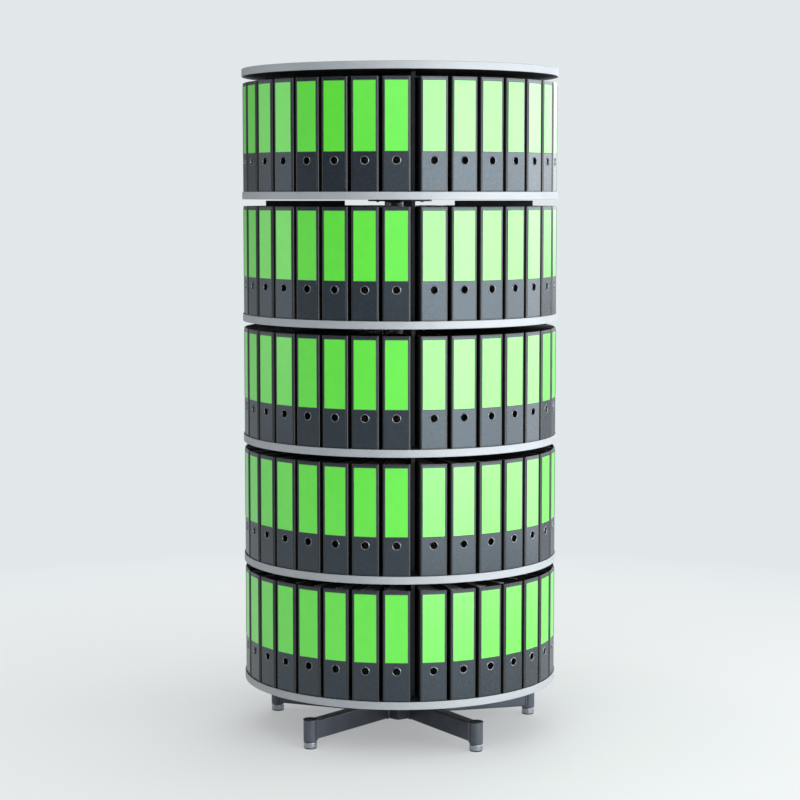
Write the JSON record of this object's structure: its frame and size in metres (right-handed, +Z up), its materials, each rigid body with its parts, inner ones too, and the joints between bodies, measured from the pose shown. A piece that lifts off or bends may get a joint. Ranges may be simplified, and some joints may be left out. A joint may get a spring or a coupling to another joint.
{
  "type": "rotary filing cabinet",
  "caption": "Tall round filing column: rotating shelves full of lever arch binders round a central tube, with silver rims and a star base on levelling feet.",
  "frame": {"origin": "on the floor, on the column's axis: the bottom centre of the bounding box", "axes": "+Z up along the column's axis; the front with the pull-out binders faces -Y"},
  "size_m": [0.94, 0.94, 1.972],
  "materials": {
    "powder_coat": "satin",
    "steel": "satin",
    "cap_plastic": "matte",
    "glide_plastic": "matte",
    "melamine": "matte",
    "silver_edge": "satin",
    "binder_board": "satin",
    "binder_cover": "satin",
    "paper": "matte"
  },
  "bodies": {
    "base": {"base_hub": "powder_coat", "base_arms": "powder_coat", "foot_sockets": "powder_coat", "socket_caps": "cap_plastic", "foot_nuts": "steel", "column_flange": "powder_coat", "column_flange_bolts": "steel", "column_tube": "steel", "column_collars": "steel", "glide_washers": "glide_plastic", "set_screws": "steel", "top_board": "melamine", "top_edge_band": "silver_edge", "top_flange": "powder_coat", "top_flange_screws": "steel"},
    "foot_1": {"levelling_foot_1": "steel"},
    "foot_2": {"levelling_foot_2": "steel"},
    "foot_3": {"levelling_foot_3": "steel"},
    "foot_4": {"levelling_foot_4": "steel"},
    "foot_5": {"levelling_foot_5": "steel"},
    "tier_1": {"tier_1_board": "melamine", "tier_1_edge_band": "silver_edge", "tier_1_hub": "powder_coat", "tier_1_screws": "steel", "tier_1_dividers": "melamine", "tier_1_binders": "binder_board"},
    "pull_1": {"tier_1_pull_binder": "binder_cover", "tier_1_pull_papers": "paper"},
    "tier_2": {"tier_2_board": "melamine", "tier_2_edge_band": "silver_edge", "tier_2_hub": "powder_coat", "tier_2_screws": "steel", "tier_2_dividers": "melamine", "tier_2_binders": "binder_board"},
    "pull_2": {"tier_2_pull_binder": "binder_cover", "tier_2_pull_papers": "paper"},
    "tier_3": {"tier_3_board": "melamine", "tier_3_edge_band": "silver_edge", "tier_3_hub": "powder_coat", "tier_3_screws": "steel", "tier_3_dividers": "melamine", "tier_3_binders": "binder_board"},
    "pull_3": {"tier_3_pull_binder": "binder_cover", "tier_3_pull_papers": "paper"},
    "tier_4": {"tier_4_board": "melamine", "tier_4_edge_band": "silver_edge", "tier_4_hub": "powder_coat", "tier_4_screws": "steel", "tier_4_dividers": "melamine", "tier_4_binders": "binder_board"},
    "pull_4": {"tier_4_pull_binder": "binder_cover", "tier_4_pull_papers": "paper"},
    "tier_5": {"tier_5_board": "melamine", "tier_5_edge_band": "silver_edge", "tier_5_hub": "powder_coat", "tier_5_screws": "steel", "tier_5_dividers": "melamine", "tier_5_binders": "binder_board"},
    "pull_5": {"tier_5_pull_binder": "binder_cover", "tier_5_pull_papers": "paper"}
  },
  "joints": [
    {"name": "tier_1_turn", "type": "hinge", "parent": "base", "child": "tier_1", "pos_m": [0, 0, 0.172], "axis": [0, 0, 1], "continuous": true},
    {"name": "tier_2_turn", "type": "hinge", "parent": "base", "child": "tier_2", "pos_m": [0, 0, 0.532], "axis": [0, 0, 1], "continuous": true},
    {"name": "tier_3_turn", "type": "hinge", "parent": "base", "child": "tier_3", "pos_m": [0, 0, 0.892], "axis": [0, 0, 1], "continuous": true},
    {"name": "tier_4_turn", "type": "hinge", "parent": "base", "child": "tier_4", "pos_m": [0, 0, 1.252], "axis": [0, 0, 1], "continuous": true},
    {"name": "tier_5_turn", "type": "hinge", "parent": "base", "child": "tier_5", "pos_m": [0, 0, 1.612], "axis": [0, 0, 1], "continuous": true},
    {"name": "tier_1_binder_slide", "type": "slide", "parent": "tier_1", "child": "pull_1", "axis": [-0.0209, -0.9998, 0], "range_m": [0, 0.29]},
    {"name": "tier_2_binder_slide", "type": "slide", "parent": "tier_2", "child": "pull_2", "axis": [-0.0209, -0.9998, 0], "range_m": [0, 0.29]},
    {"name": "tier_3_binder_slide", "type": "slide", "parent": "tier_3", "child": "pull_3", "axis": [-0.0209, -0.9998, 0], "range_m": [0, 0.29]},
    {"name": "tier_4_binder_slide", "type": "slide", "parent": "tier_4", "child": "pull_4", "axis": [-0.0209, -0.9998, 0], "range_m": [0, 0.29]},
    {"name": "tier_5_binder_slide", "type": "slide", "parent": "tier_5", "child": "pull_5", "axis": [-0.0209, -0.9998, 0], "range_m": [0, 0.29]},
    {"name": "foot_1_thread", "type": "hinge", "parent": "base", "child": "foot_1", "pos_m": [0.22029, -0.34579, 0], "axis": [0, 0, 1], "range_deg": [0, 3600]},
    {"name": "foot_2_thread", "type": "hinge", "parent": "base", "child": "foot_2", "pos_m": [0.39694, 0.10266, 0], "axis": [0, 0, 1], "range_deg": [0, 3600]},
    {"name": "foot_3_thread", "type": "hinge", "parent": "base", "child": "foot_3", "pos_m": [0.02503, 0.40924, 0], "axis": [0, 0, 1], "range_deg": [0, 3600]},
    {"name": "foot_4_thread", "type": "hinge", "parent": "base", "child": "foot_4", "pos_m": [-0.38147, 0.15027, 0], "axis": [0, 0, 1], "range_deg": [0, 3600]},
    {"name": "foot_5_thread", "type": "hinge", "parent": "base", "child": "foot_5", "pos_m": [-0.26079, -0.31637, 0], "axis": [0, 0, 1], "range_deg": [0, 3600]}
  ]
}
